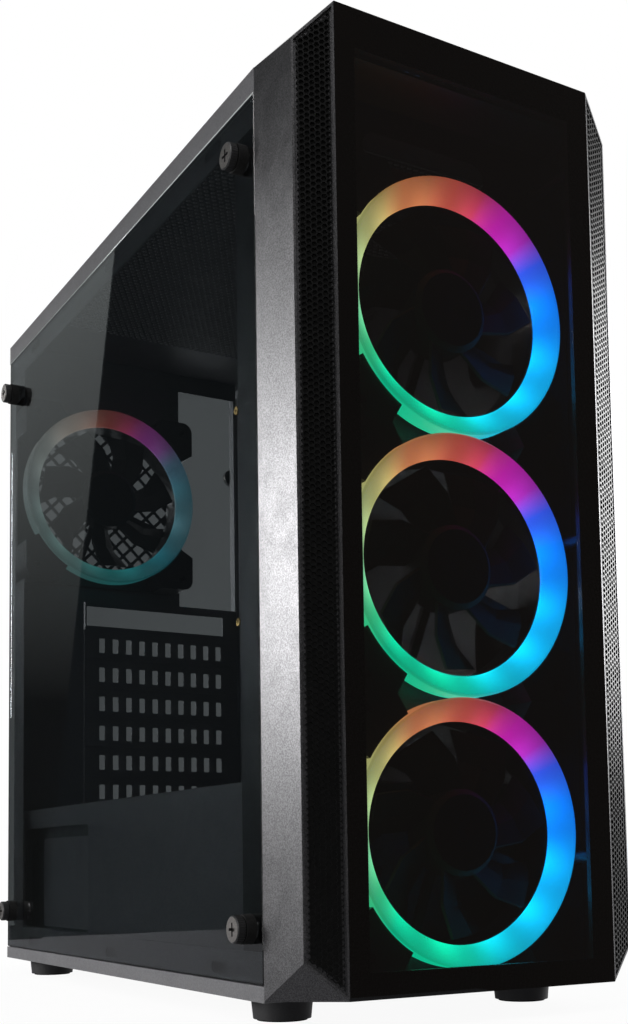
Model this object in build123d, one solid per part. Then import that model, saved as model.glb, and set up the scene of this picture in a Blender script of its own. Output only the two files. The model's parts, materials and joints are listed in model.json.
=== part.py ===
"""Desktop computer tower: steel chassis, smoked side window, faceted front bezel, lit fans, power supply.

Millimetres, front towards -Y, +Z up, floor at z = 0. It is drawn with x = 0 on the case's middle and y = 0
on the front panel's face, and moved back at the end so that the origin is the middle of the base.
"""

import os
from math import atan2, cos, degrees, hypot, radians, sin, tan

from build123d import *

# Case
CASE_W = 176.0  # steel body and bezel
CASE_D = 409.0  # front panel's face to the rails' rear end
FOOT_H = 10.0
BODY_H = 416.5  # steel body, floor's underside to top
BEZEL_D = 42.0
SHEET = 0.8
TOUCH = 0.2  # clearance between folded sheets that meet edge to edge
RAIL_BOTTOM = 7.0
RAIL_TOP = 11.0
FLANGE = 14.0  # fold behind the window's edge
REAR_RECESS = 10.4  # rear wall's inner face in front of the rails' rear end
SHROUD_H = 96.0  # shroud's top above the floor's underside
SHROUD_INSET = 8.0
TRAY_INSET = 5.2
TRAY_MARGIN = 15.6  # tray's bottom and top edge from the body's

# Side window and its screws
GLASS_T = 3.2
GLASS_GAP = 0.4  # glass to flange
EDGE_GAP = 0.3  # glass to rails
SCREW_FRONT = 12.0  # window screw from the bezel's joint
SCREW_REAR = 15.0  # window screw from the rear end
SCREW_LOW = 31.0  # window screw above the body's bottom
SCREW_HIGH = 38.0  # window screw below the body's top
HEAD_R = 6.0
HEAD_T = 4.2
COLLAR_R = 6.6
COLLAR_T = 4.7
SHANK_R = 2.0
SCREW_GAP = 0.1
SHANK_L = 12.0
NUT_L = 3.0

# Front bezel
PANEL_HALF = 70.8  # half width of the flat front panel
PANEL_LOW = 3.0  # panel's bottom above the body's
PANEL_RISE = 12.2  # panel's top above the body's
PANEL_T = 3.0
WING_Y = 7.5  # wing's outer edge behind the panel's face
WING_LOW = 18.7  # wing's outer corners inside the body's bottom and top
WING_HIGH = 5.7
BEZEL_GAP = 0.4  # bezel's rear edge inside the steel's outline, top and bottom
BEZEL_WALL = 2.5
BORDER = 10.9  # opaque frame behind the panel's edge
MESH_T = 1.2
PIN_R = 3.0
PIN_GAP = 0.5

# Fans
FAN = 120.0
FAN_PITCH = 120.1
FAN_SINK = 0.2055  # share of the front's spare height that is below the fans
FAN_DEPTH = 25.0
FAN_HOLES = 105.0
RING_R = 59.9
RING_BORE = 49.8
RING_SIDE = 10.0  # lit outer rim
RING_DEEP = 9.0
EAR_Y = 2.0  # frame's corners behind the ring's front
HUB_R = 19.5
BLADES = 7
BLADE_TIP = 46.0
SCREW_HOLE_R = 2.2
REAR_FAN_X = -24.4
REAR_FAN_DROP = 104.9  # rear fan's axis below the body's top
VENT_R = 56.0  # wall opening behind a fan
GRILLE_R = 58.5
GRILLE_PITCH = 8.2
GRILLE_HOLE = 6.0

# Rear openings
IO_X = 35.6
IO_W = 44.45
IO_DROP = 13.35  # connector opening's top below the body's top
IO_H = 158.75
SLOT_PITCH = 20.32
SLOT_DROP = 12.4  # top slot's centre below the connector opening
SLOT_X0 = -34.2
SLOT_X1 = 69.8
SLOT_H = 13.5
COVER_H = 18.4
COVER_VENTS = 10

# Motherboard holes, from the top row down and from the rear column forwards
BOARD_REAR = 11.8
BOARD_COLUMNS = (0, 154.94, 227.33)
BOARD_SHORT, BOARD_MIDDLE, BOARD_FULL = 203.2, 157.48, 281.94
BOARD_GAP = 24.48  # top row below the body's top
STANDOFF_L = 6.5

# Perforated top, for two fans
TOP_HALF = 66.0
TOP_MARGIN = 34.0  # perforated field behind the bezel's joint
TOP_REAR = 58.0  # and in front of the rails' rear end
TOP_LAP = 3.0
TOP_SLOT = 5.6
TOP_STEP = 10.0

# Power supply
PSU_W = 150.0
PSU_H = 86.0
PSU_D = 140.0
PSU_X = 3.0
PSU_LIFT = 3.7
PSU_WALL = 1.0

# Top inputs and outputs, along the bezel's top
POWER_X = -54.0
RESET_X = -33.0
LED_X = (-21.0, -15.0)
USB_X = (0.0, 20.0)
AUDIO_X = (42.0, 55.0)
BOARD_DROP = 14.0
POWER_R = 6.5
RESET_R = 3.6
BUTTON_GAP = 0.3
POWER_TRAVEL = 1.2
RESET_TRAVEL = 1.0

HALF = CASE_W / 2
Z0 = FOOT_H
Z1 = FOOT_H + BODY_H
PANEL_Z0 = Z0 + PANEL_LOW
PANEL_Z1 = Z1 + PANEL_RISE
WING_Z0 = Z0 + WING_LOW
WING_Z1 = Z1 - WING_HIGH
IO_Z = Z1 - IO_DROP - IO_H
SLOT_Z1 = IO_Z - SLOT_DROP
REAR_FAN_Z = Z1 - REAR_FAN_DROP
FLOOR_Z = Z0 + SHEET
CEIL_Z = Z1 - SHEET
FLANGE_X = HALF - GLASS_T - GLASS_GAP
INNER_X = FLANGE_X - SHEET
FLANGE_Z0 = Z0 + RAIL_BOTTOM + FLANGE + TOUCH
FLANGE_Z1 = Z1 - RAIL_TOP - FLANGE - TOUCH
WALL_Y = BEZEL_D - 5.5  # front wall's face, inside the bezel
JOG_Y = BEZEL_D + TOUCH  # where its edges step out behind the bezel's rim
REAR_Y = CASE_D - REAR_RECESS  # rear wall's inner face
TRAY_X = HALF - TRAY_INSET
SHROUD_X = -HALF + SHROUD_INSET
SHROUD_Z = Z0 + SHROUD_H
FRONT_FAN_Y = WALL_Y - FAN_DEPTH
FAN_Z = Z0 + FAN_SINK * (BODY_H - 3 * FAN_PITCH) + FAN_PITCH / 2
FAN_ZS = [FAN_Z + i * FAN_PITCH for i in range(3)]
SLOT_COUNT = int((SLOT_Z1 - SHROUD_Z - 3) / SLOT_PITCH) + 1  # as many as fit above the shroud
SLOT_ZS = [SLOT_Z1 - i * SLOT_PITCH for i in range(SLOT_COUNT)]
HOOK_YS = [BEZEL_D + 46 + i * (CASE_D - BEZEL_D - 98) / 2 for i in range(3)]
HOOK_LOW = Z0 + RAIL_BOTTOM + 5.5
HOOK_HIGH = Z1 - RAIL_TOP - 5.5
SCREW_SPOTS = [
    (y, z)
    for z in (Z0 + SCREW_LOW, Z1 - SCREW_HIGH)
    for y in (BEZEL_D + SCREW_FRONT, CASE_D - SCREW_REAR)
]
PSU_X0 = PSU_X - PSU_W / 2
PSU_X1 = PSU_X + PSU_W / 2
PSU_Y0 = REAR_Y - PSU_D
PSU_Z0 = FLOOR_Z + PSU_LIFT
PSU_Z1 = PSU_Z0 + PSU_H
TOP_Y = (BEZEL_D + TOP_MARGIN, CASE_D - TOP_REAR)
TOP_FAN_YS = [sum(TOP_Y) / 2 + i * (FAN + 15) / 2 for i in (-1, 1)]
RIM_X = IO_X + IO_W + 1.2  # rear rim that takes the right panel's screws
LIP_END = HALF - SHEET - 0.3
LIP_X = (RIM_X + LIP_END) / 2
LIP_Y = CASE_D - SHEET - TOUCH
WALL_STEP = 3.4  # front wall's edges stand clear of the bezel's rim
ORIGIN_Y = (CASE_D + SCREW_GAP + HEAD_T) / 2

nodes = {}


def block(x, y, z):
    """Box between two limits on each axis."""
    size = [b - a for a, b in (x, y, z)]
    middle = [(a + b) / 2 for a, b in (x, y, z)]
    return Pos(*middle) * Box(*size)


def rod(axis, radius, centre, span):
    """Cylinder along X, Y or Z, placed by its two other coordinates."""
    turn = {"X": Rot(0, 90, 0), "Y": Rot(-90, 0, 0), "Z": Rot(0, 0, 0)}[axis]
    place = list(centre)
    place.insert("XYZ".index(axis), span[0])
    tube = Cylinder(radius, span[1] - span[0], align=(Align.CENTER, Align.CENTER, Align.MIN))
    return Pos(*place) * turn * tube


def along_x(face, x0, x1):
    """Extrudes a face drawn in (y, z)."""
    return extrude(Plane.YZ.offset(x0) * face, amount=x1 - x0)


def along_y(face, y0, y1):
    """Extrudes a face drawn in (x, z)."""
    return extrude(Plane.XZ.offset(-y0) * face, amount=y0 - y1)


def along_z(face, z0, z1):
    """Extrudes a face drawn in (x, y)."""
    return extrude(Plane.XY.offset(z0) * face, amount=z1 - z0)


def polygon(points):
    return make_face(Polyline(*points, close=True))


def folded(points, thick=SHEET):
    """Section of a sheet folded along points, with its thickness to the left of the way they run."""
    runs = []
    for (ax, ay), (bx, by) in zip(points, points[1:]):
        length = hypot(bx - ax, by - ay)
        runs.append(((bx - ax) / length, (by - ay) / length))
    inner = []
    for i, (x, y) in enumerate(points):
        before = runs[max(i - 1, 0)]
        after = runs[min(i, len(runs) - 1)]
        scale = thick / (1 + before[0] * after[0] + before[1] * after[1])
        inner.append((x - (before[1] + after[1]) * scale, y + (before[0] + after[0]) * scale))
    return polygon(list(points) + inner[::-1])


def square(centre, spacing):
    """Four corners of a screw pattern."""
    return [(centre[0] + i * spacing / 2, centre[1] + j * spacing / 2) for i in (-1, 1) for j in (-1, 1)]


def revolved(points):
    """Turns a section drawn in (radius, height) about Y."""
    return revolve(polygon(points), Axis.Y)


# Chassis sheets
HOOK_SPOTS = [(y, z) for y in HOOK_YS for z in (HOOK_LOW, HOOK_HIGH)]
HOOK_SLOT = [along_x(Pos(y, z) * SlotOverall(18, 5), -HALF, HALF) for y, z in HOOK_SPOTS]

floor_path = [
    (-FLANGE_X, Z0 + RAIL_BOTTOM + FLANGE),
    (-FLANGE_X, Z0 + RAIL_BOTTOM),
    (-HALF, Z0 + RAIL_BOTTOM),
    (-HALF, Z0),
    (HALF, Z0),
    (HALF, Z0 + RAIL_BOTTOM),
    (FLANGE_X, Z0 + RAIL_BOTTOM),
    (FLANGE_X, Z0 + RAIL_BOTTOM + FLANGE),
]
pan = along_y(folded(floor_path), BEZEL_D, CASE_D)
psu_ribs = [
    block((PSU_X0 + 8, PSU_X1 - 8), (y, y + 8), (FLOOR_Z, PSU_Z0)) for y in (PSU_Y0 + 4, REAR_Y - 12)
]
intake = [
    block((PSU_X - reach, PSU_X + reach), (y - 3, y + 3), (Z0 - 1, FLOOR_Z + 1))
    for y, reach in [(PSU_Y0 + PSU_D / 2 + i * 11, (52.0**2 - (i * 11) ** 2) ** 0.5) for i in range(-4, 5)]
]
nodes["bottom_pan"] = pan + psu_ribs - intake - HOOK_SLOT

ceil_path = [
    (FLANGE_X, Z1 - RAIL_TOP - FLANGE),
    (FLANGE_X, Z1 - RAIL_TOP),
    (HALF, Z1 - RAIL_TOP),
    (HALF, Z1),
    (-HALF, Z1),
    (-HALF, Z1 - RAIL_TOP),
    (-FLANGE_X, Z1 - RAIL_TOP),
    (-FLANGE_X, Z1 - RAIL_TOP - FLANGE),
]
top = along_y(folded(ceil_path), BEZEL_D, CASE_D)
top -= block((-TOP_HALF, TOP_HALF), TOP_Y, (CEIL_Z - 1, Z1 + 1))
nodes["top_panel"] = top - HOOK_SLOT

vents = block(
    (-TOP_HALF - TOP_LAP, TOP_HALF + TOP_LAP),
    (TOP_Y[0] - TOP_LAP, TOP_Y[1] + TOP_LAP),
    (CEIL_Z - SHEET, CEIL_Z),
)
TOP_ROWS = int((TOP_Y[1] - TOP_Y[0]) / TOP_STEP)
slot_reach = FAN_HOLES / 2 - 6
for i in range(TOP_ROWS):
    y = sum(TOP_Y) / 2 + (i - (TOP_ROWS - 1) / 2) * TOP_STEP
    for x in ((-slot_reach, -2), (2, slot_reach)):
        vents -= block(x, (y - TOP_SLOT / 2, y + TOP_SLOT / 2), (CEIL_Z - 2, CEIL_Z + 1))
vents -= [rod("Z", SCREW_HOLE_R, p, (CEIL_Z - 2, Z1)) for y in TOP_FAN_YS for p in square((0, y), FAN_HOLES)]
nodes["top_vents"] = vents

# Rear wall, in strips that stand round its openings
WALL = (REAR_Y, REAR_Y + SHEET)
BORE = (REAR_Y - 1, REAR_Y + 2)
fan_field = block((-INNER_X, IO_X), WALL, (IO_Z, CEIL_Z))
fan_field -= rod("Y", VENT_R, (REAR_FAN_X, REAR_FAN_Z), BORE)
fan_field -= [rod("Y", SCREW_HOLE_R, p, BORE) for p in square((REAR_FAN_X, REAR_FAN_Z), FAN_HOLES)]
io_lintel = block((IO_X, IO_X + IO_W), WALL, (IO_Z + IO_H, CEIL_Z))
io_post = block((IO_X + IO_W, RIM_X), WALL, (IO_Z, CEIL_Z))
nodes["rear_wall"] = Compound(children=[fan_field, io_lintel, io_post])

ladder_z = SLOT_ZS[-1] - SLOT_H / 2
rungs = [
    block((SLOT_X0, SLOT_X1), WALL, (z + SLOT_H / 2, min(z + SLOT_PITCH - SLOT_H / 2, IO_Z))) for z in SLOT_ZS
]
stiles = [block(x, WALL, (ladder_z, IO_Z)) for x in ((-INNER_X, SLOT_X0), (SLOT_X1, RIM_X))]
psu_field = block((-INNER_X, RIM_X), WALL, (FLOOR_Z, ladder_z))
psu_field -= block((PSU_X0 + 13, PSU_X1 - 13), BORE, (PSU_Z0 + 4, PSU_Z1 - 4))
PSU_SCREWS = [(x, z) for x in (PSU_X0 + 6, PSU_X1 - 6) for z in (PSU_Z0 + 10, PSU_Z1 - 12)]
psu_field -= [rod("Y", SCREW_HOLE_R, p, BORE) for p in PSU_SCREWS]
tab_slots = [block((SLOT_X0 - 2.1, SLOT_X0 - 1.0), BORE, (z - 9.5, z + 9.5)) for z in SLOT_ZS]
nodes["slot_wall"] = Compound(
    children=[*rungs, stiles[0] - tab_slots, stiles[1], psu_field - tab_slots[-1]]
)

rim_path = [(LIP_END, LIP_Y), (RIM_X, LIP_Y), (RIM_X, REAR_Y)]
rim = along_z(folded(rim_path), FLOOR_Z, CEIL_Z)
for low, high in ((FLOOR_Z, FLANGE_Z0), (FLANGE_Z1, CEIL_Z)):
    rim -= block((RIM_X + SHEET, HALF), (REAR_Y + 2, CASE_D), (low, high))
PANEL_SCREW_ZS = (Z0 + SCREW_LOW + 30, Z1 - SCREW_HIGH - 30)
nodes["rear_rim"] = rim - [rod("Y", 1.8, (LIP_X, z), (LIP_Y - 2, LIP_Y + 1)) for z in PANEL_SCREW_ZS]

shelf = block(
    (SLOT_X0 - 1.0, SLOT_X0 - 0.2), (REAR_Y + SHEET, LIP_Y), (SLOT_ZS[-1] - 11, SLOT_ZS[0] + 11)
)
nodes["slot_shelf"] = shelf - [rod("X", 2.0, (REAR_Y + 5.4, z), (SLOT_X0 - 3, SLOT_X0 + 3)) for z in SLOT_ZS]

FOLD = 19.0
flange = block((-FLANGE_X, -INNER_X), (REAR_Y - FOLD, REAR_Y + SHEET), (FLANGE_Z0, FLANGE_Z1))
flange -= [
    rod("X", 2.6, spot, (-FLANGE_X - 1, -INNER_X + 1)) for spot in SCREW_SPOTS if spot[0] > REAR_Y - FOLD
]
fan_notch = (REAR_FAN_Z - FAN / 2 - 2, REAR_FAN_Z + FAN / 2 + 2)
nodes["rear_flange"] = flange - block((-HALF, -INNER_X + 0.5), (REAR_Y - FOLD - 1, REAR_Y), fan_notch)

grille = rod("Y", GRILLE_R, (REAR_FAN_X, REAR_FAN_Z), (REAR_Y + SHEET, REAR_Y + 2 * SHEET))
punched = []
reach = int(VENT_R / GRILLE_PITCH) + 1
for i in range(-reach, reach + 1):
    for j in range(-reach, reach + 1):
        x, z = GRILLE_PITCH * (i - j) / 2**0.5, GRILLE_PITCH * (i + j) / 2**0.5
        if hypot(x, z) < VENT_R - GRILLE_HOLE * 0.75:
            hole = Pos(REAR_FAN_X + x, REAR_FAN_Z + z) * Rectangle(GRILLE_HOLE, GRILLE_HOLE, rotation=45)
            punched.append(along_y(hole, REAR_Y, REAR_Y + 3))
nodes["rear_fan_grille"] = grille - punched

front_path = [
    (BEZEL_D + 18, CEIL_Z),
    (JOG_Y, CEIL_Z),
    (JOG_Y, CEIL_Z - WALL_STEP),
    (WALL_Y, CEIL_Z - WALL_STEP),
    (WALL_Y, FLOOR_Z + WALL_STEP),
    (JOG_Y, FLOOR_Z + WALL_STEP),
    (JOG_Y, FLOOR_Z),
    (BEZEL_D + 7, FLOOR_Z),
]
front = along_x(folded(front_path), -INNER_X, INNER_X)
for side in (-1, 1):
    edges = sorted((side * INNER_X, side * FLANGE_X))
    front += block(edges, (WALL_Y, BEZEL_D + 22), (FLANGE_Z0, FLANGE_Z1))
    corner = sorted((side * (INNER_X - 4), side * HALF))  # the bezel's lower facets cut in here
    front -= block(corner, (WALL_Y - 1, BEZEL_D), (Z0, FLOOR_Z + WALL_STEP + 4))
front -= [rod("Y", VENT_R, (0, z), (WALL_Y - 1, WALL_Y + 2)) for z in FAN_ZS]
front -= [
    rod("Y", SCREW_HOLE_R, p, (WALL_Y - 1, WALL_Y + 2)) for z in FAN_ZS for p in square((0, z), FAN_HOLES)
]
PINS = [(side * (PANEL_HALF - BORDER / 2), z) for side in (-1, 1) for z in (Z0 + 60, Z0 + 210, Z1 - 26)]
front -= [rod("Y", PIN_R + PIN_GAP, p, (WALL_Y - 1, WALL_Y + 2)) for p in PINS]
front -= [
    rod("X", 2.6, spot, (-FLANGE_X - 1, -INNER_X + 1)) for spot in SCREW_SPOTS if spot[0] < REAR_Y - FOLD
]
spare = CEIL_Z - FAN_ZS[2] - FAN / 2  # wall above the fans
cable_slot = Pos(0, CEIL_Z - spare * 0.55) * SlotOverall(70, spare / 3)
nodes["front_wall"] = front - along_y(cable_slot, WALL_Y - 1, WALL_Y + 2)

tray_path = [(TRAY_X + SHEET, BEZEL_D + 2), (TRAY_X + SHEET, REAR_Y), (RIM_X, REAR_Y)]
tray_z = (Z0 + TRAY_MARGIN, Z1 - TRAY_MARGIN - 4)
tray = along_z(folded(tray_path), *tray_z)
tray -= along_x(Pos(REAR_Y - 105, SLOT_Z1 + 95) * RectangleRounded(130, 110, 12), TRAY_X - 1, TRAY_X + 2)
low_run = SLOT_Z1 - SHROUD_Z
CABLE_HOLES = ((SLOT_Z1 + 120, 70), (SLOT_Z1 + 20, 80), (SHROUD_Z + low_run * 0.45, low_run * 0.588))
for z, length in CABLE_HOLES:
    tray -= along_x(Pos(BEZEL_D + 60, z) * SlotOverall(length, 28, rotation=90), TRAY_X - 1, TRAY_X + 2)
low_bay = Pos((BEZEL_D + REAR_Y) / 2, (FLOOR_Z + SHROUD_Z) / 2 + 8) * RectangleRounded(
    (REAR_Y - BEZEL_D) * 0.757, 50, 8
)
nodes["motherboard_tray"] = tray - along_x(low_bay, TRAY_X - 1, TRAY_X + 2)

BOARD_YS = [REAR_Y - BOARD_REAR - column for column in BOARD_COLUMNS]
board_reach = BOARD_FULL if SLOT_COUNT >= 7 else BOARD_SHORT
BOARD_ZS = [Z1 - BOARD_GAP - row for row in (board_reach, BOARD_MIDDLE, 0)]
standoffs = []
for y in BOARD_YS:
    for z in BOARD_ZS:
        post = along_x(Pos(y, z) * RegularPolygon(3.2, 6), TRAY_X - STANDOFF_L, TRAY_X)
        standoffs.append(post - rod("X", 1.25, (y, z), (TRAY_X - STANDOFF_L - 1, TRAY_X - 0.6)))
nodes["standoffs"] = Compound(children=standoffs)

shroud_path = [
    (TRAY_X, SHROUD_Z),
    (SHROUD_X, SHROUD_Z),
    (SHROUD_X, FLOOR_Z),
    (SHROUD_X + 14, FLOOR_Z),
]
SHROUD_Y = (BEZEL_D + 8, REAR_Y - SHEET - TOUCH)
CUT_Y = (PSU_Y0 + 12.4, REAR_Y - 11.6)
CUT_Z = (Z0 + 21, SHROUD_Z - 12)
shroud = along_y(folded(shroud_path), *SHROUD_Y)
cut = Pos(sum(CUT_Y) / 2, sum(CUT_Z) / 2) * RectangleRounded(CUT_Y[1] - CUT_Y[0], CUT_Z[1] - CUT_Z[0], 3)
shroud -= along_x(cut, SHROUD_X - 1, SHROUD_X + 2)
cable_gap = block((TRAY_X - 44, TRAY_X - 8), (BEZEL_D + 70, BEZEL_D + 150), (SHROUD_Z - 3, SHROUD_Z + 1))
nodes["psu_shroud"] = shroud - cable_gap

CAGE_Y = (BEZEL_D + 28, BEZEL_D + 133)
CAGE_Z = FLOOR_Z + 74
cage_path = [(CAGE_Y[0], CAGE_Z), (CAGE_Y[0], FLOOR_Z), (CAGE_Y[1], FLOOR_Z), (CAGE_Y[1], CAGE_Z)]
cage = along_x(folded(cage_path), PSU_X0 + 10, PSU_X1 - 8)
for z in (FLOOR_Z + 6, FLOOR_Z + 42):
    for x in (PSU_X - 30, PSU_X + 30):
        cage -= along_y(Pos(x, z + 12) * SlotOverall(34, 5), CAGE_Y[0] - 1, CAGE_Y[1] + 1)
nodes["drive_cage"] = cage

HUB_D = 36.0
HUB_H = 15.0
hub_y = (CAGE_Y[1] + PSU_Y0 - HUB_D) / 2
hub_box = block((PSU_X - HUB_D, PSU_X + HUB_D), (hub_y, hub_y + HUB_D), (FLOOR_Z, FLOOR_Z + HUB_H))
hub_box = fillet(hub_box.edges().filter_by(Axis.Z), 4)
for i in range(5):
    x = PSU_X - 30 + i * 12.5
    hub_box -= block((x, x + 10), (hub_y + 4, hub_y + 10), (FLOOR_Z + HUB_H / 2, FLOOR_Z + HUB_H + 1))
nodes["fan_hub"] = hub_box

# Expansion slot covers
cover_path = [(SLOT_X0 - 1.8, LIP_Y - 0.2), (SLOT_X0 - 1.8, REAR_Y - SHEET), (SLOT_X1 + 4, REAR_Y - SHEET)]
VENT_STEP = (SLOT_X1 - 4.3 - SLOT_X0 - 10.8) / (COVER_VENTS - 1)
covers = []
for z in SLOT_ZS[1:]:
    cover = along_z(folded(cover_path), z - COVER_H / 2, z + COVER_H / 2)
    for i in range(COVER_VENTS):
        x = SLOT_X0 + 10.8 + i * VENT_STEP
        cover -= block((x - 2, x + 2), (REAR_Y - 2, REAR_Y + 1), (z - 5, z + 5))
    cover -= rod("X", 2.0, (REAR_Y + 5.4, z), (SLOT_X0 - 3, SLOT_X0))
    covers.append(cover)
nodes["slot_covers"] = Compound(children=covers)


def screw(axis, centre, seat, out, head_r=3.4, head_t=2.2, shank_r=1.7, length=7.0):
    """Pan-head screw whose head stands on the seat, outwards by the sign of out."""
    head = rod(axis, head_r, centre, sorted((seat, seat + out * head_t)))
    return head + rod(axis, shank_r, centre, sorted((seat - out * length, seat)))


nodes["slot_screws"] = Compound(
    children=[screw("X", (REAR_Y + 5.4, z), SLOT_X0 - 1.8, -1, length=5.0) for z in SLOT_ZS[1:]]
)


# Fans, drawn on the Y axis with the lit face at y = 0
def fan_frame():
    outline = RectangleRounded(FAN, FAN, 7)
    frame = along_y(outline, FAN_DEPTH - 4, FAN_DEPTH)
    frame -= rod("Y", RING_BORE, (0, 0), (0, FAN_DEPTH + 1))
    frame += rod("Y", RING_BORE + 2.2, (0, 0), (RING_DEEP, FAN_DEPTH)) - rod(
        "Y", RING_BORE, (0, 0), (0, FAN_DEPTH + 1)
    )
    reach = FAN / 2 * tan(radians(31.5))
    wedge = polygon([(0, 0), (FAN / 2, reach), (FAN / 2, FAN / 2), (reach, FAN / 2)]) & outline
    ear = along_y(wedge, EAR_Y, FAN_DEPTH) - rod("Y", RING_R + 0.3, (0, 0), (0, FAN_DEPTH + 1))
    frame += [Rot(0, 90 * i, 0) * ear for i in range(4)]
    frame -= [rod("Y", SCREW_HOLE_R, p, (0, FAN_DEPTH + 1)) for p in square((0, 0), FAN_HOLES)]
    base = rod("Y", HUB_R - 2, (0, 0), (FAN_DEPTH - 3.5, FAN_DEPTH))
    base += rod("Y", HUB_R - 6, (0, 0), (FAN_DEPTH - 12, FAN_DEPTH - 3.5))
    base -= rod("Y", 4.5, (0, 0), (0, FAN_DEPTH - 3.5))
    base += rod("Y", 1.5, (0, 0), (9, FAN_DEPTH - 3))
    strut = block((HUB_R - 4, RING_BORE + 1), (FAN_DEPTH - 3, FAN_DEPTH), (-2, 2))
    return frame + base + [Rot(0, 20 + 90 * i, 0) * strut for i in range(4)]


def fan_ring():
    return revolved(
        [
            (RING_R - 1, 0),
            (RING_R, 1),
            (RING_R, RING_SIDE),
            (RING_BORE + 2.2, RING_DEEP),
            (RING_BORE, RING_DEEP),
            (RING_BORE, RING_DEEP - 2),
        ]
    )


def blade_section(radius, chord, pitch, lean, camber=2.2, thick=1.5):
    """Bowed strip square to the radius, turned by pitch from the fan's plane and carried round by lean."""
    line = [(-chord / 2, 0), (0, camber), (chord / 2, 0)]
    strip = [(s, h + thick / 2) for s, h in line] + [(s, h - thick / 2) for s, h in line[::-1]]
    chord_way = (0, sin(radians(pitch)), cos(radians(pitch)))
    plane = Plane(origin=(radius, 14.2, 0), x_dir=chord_way, z_dir=(1, 0, 0))
    return Rot(0, lean, 0) * (plane * polygon(strip))


def fan_rotor():
    hub = revolved([(0, 6.1), (4, 5.5), (HUB_R - 2.5, 5.5), (HUB_R, 7.5), (HUB_R, 20.5), (0, 20.5)])
    hub -= rod("Y", HUB_R - 3, (0, 0), (7, 21)) - rod("Y", 3.8, (0, 0), (7, 19))
    hub -= rod("Y", 1.58, (0, 0), (8.6, 21))
    sections = [
        blade_section(HUB_R - 1.8, 18, 40, 0),
        blade_section((HUB_R + BLADE_TIP) / 2, 23, 33, -9),
        blade_section(BLADE_TIP, 27, 26, -20),
    ]
    blade = loft(sections, ruled=True)
    return hub + [Rot(0, 360 / BLADES * i, 0) * blade for i in range(BLADES)]


frame_shape, ring_shape, rotor_shape = fan_frame(), fan_ring(), fan_rotor()
FAN_SPOTS = {f"front_fan_{i + 1}": (0, FRONT_FAN_Y, z) for i, z in enumerate(FAN_ZS)}
FAN_SPOTS["rear_fan"] = (REAR_FAN_X, REAR_Y - FAN_DEPTH, REAR_FAN_Z)
fan_screws = []
for name, spot in FAN_SPOTS.items():
    nodes[f"{name}_frame"] = Pos(*spot) * frame_shape
    nodes[f"{name}_ring"] = Pos(*spot) * ring_shape
    nodes[f"{name}_rotor"] = Pos(*spot) * rotor_shape
    for corner in square((spot[0], spot[2]), FAN_HOLES):
        fan_screws.append(screw("Y", corner, spot[1] + FAN_DEPTH + SHEET, 1, shank_r=2.0))
nodes["fan_screws"] = Compound(children=fan_screws)

# Power supply
psu = block((PSU_X0, PSU_X1), (PSU_Y0, REAR_Y), (PSU_Z0, PSU_Z1))
psu -= block(
    (PSU_X0 + PSU_WALL, PSU_X1 - PSU_WALL),
    (PSU_Y0 + PSU_WALL, REAR_Y - PSU_WALL),
    (PSU_Z0 + PSU_WALL, PSU_Z1 - PSU_WALL),
)
PSU_FAN_Y = PSU_Y0 + PSU_D / 2
psu -= rod("Z", VENT_R, (PSU_X, PSU_FAN_Y), (PSU_Z0 - 1, PSU_Z0 + 2))
INLET = (PSU_X1 - 44, PSU_Z1 - 28)
SWITCH = (PSU_X1 - 78, PSU_Z1 - 28)
psu -= along_y(Pos(*INLET) * RectangleRounded(27.6, 20.6, 3), REAR_Y - 3, REAR_Y + 1)
psu -= along_y(Pos(*SWITCH) * Rectangle(15, 21), REAR_Y - 3, REAR_Y + 1)
for column in range(9):
    for row in range(2):
        x = PSU_X0 + 20 + column * 12
        psu -= block((x, x + 8), (REAR_Y - 3, REAR_Y + 1), (PSU_Z0 + 10 + row * 16, PSU_Z0 + 22 + row * 16))
psu -= [rod("Y", 1.8, p, (REAR_Y - 3, REAR_Y + 1)) for p in PSU_SCREWS]
cable_hole = Pos(PSU_X0 + 34, PSU_Z0 + 60) * RectangleRounded(36, 24, 6)
nodes["psu_case"] = psu - along_y(cable_hole, PSU_Y0 - 1, PSU_Y0 + 2)
nodes["psu_screws"] = Compound(children=[screw("Y", p, REAR_Y + SHEET, 1) for p in PSU_SCREWS])

stand = Pos(PSU_X, PSU_FAN_Y, PSU_Z0 + PSU_WALL - EAR_Y) * Rot(90, 0, 0)
nodes["psu_fan_frame"] = stand * frame_shape
nodes["psu_fan_rotor"] = stand * rotor_shape

board_z = PSU_Z1 - 8
board = block((PSU_X0 + 6, PSU_X1 - 6), (PSU_Y0 + 6, REAR_Y - 24), (board_z, board_z + 1.6))
for x in (PSU_X0 + 12, PSU_X1 - 12):
    for y in (PSU_Y0 + 12, REAR_Y - 30):
        board += rod("Z", 3, (x, y), (board_z + 1.6, PSU_Z1 - PSU_WALL))
sink_y = (PSU_Y0 + 20, PSU_Y0 + PSU_D * 0.71)
for x in (PSU_X - 34, PSU_X + 30):
    board += block((x, x + 4), sink_y, (board_z - 34, board_z))
    fin = block((x - 6, x + 10), sink_y, (board_z - 4, board_z - 2.5))
    board += [Pos(0, 0, -8 * i) * fin for i in range(4)]
board += block((PSU_X - 20, PSU_X + 18), (PSU_Y0 + 42, PSU_Y0 + 78), (board_z - 32, board_z))
board += [rod("Z", 9, (x, PSU_Y0 + 100), (board_z - 30, board_z)) for x in (PSU_X - 14, PSU_X + 12)]
nodes["psu_board"] = board

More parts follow.
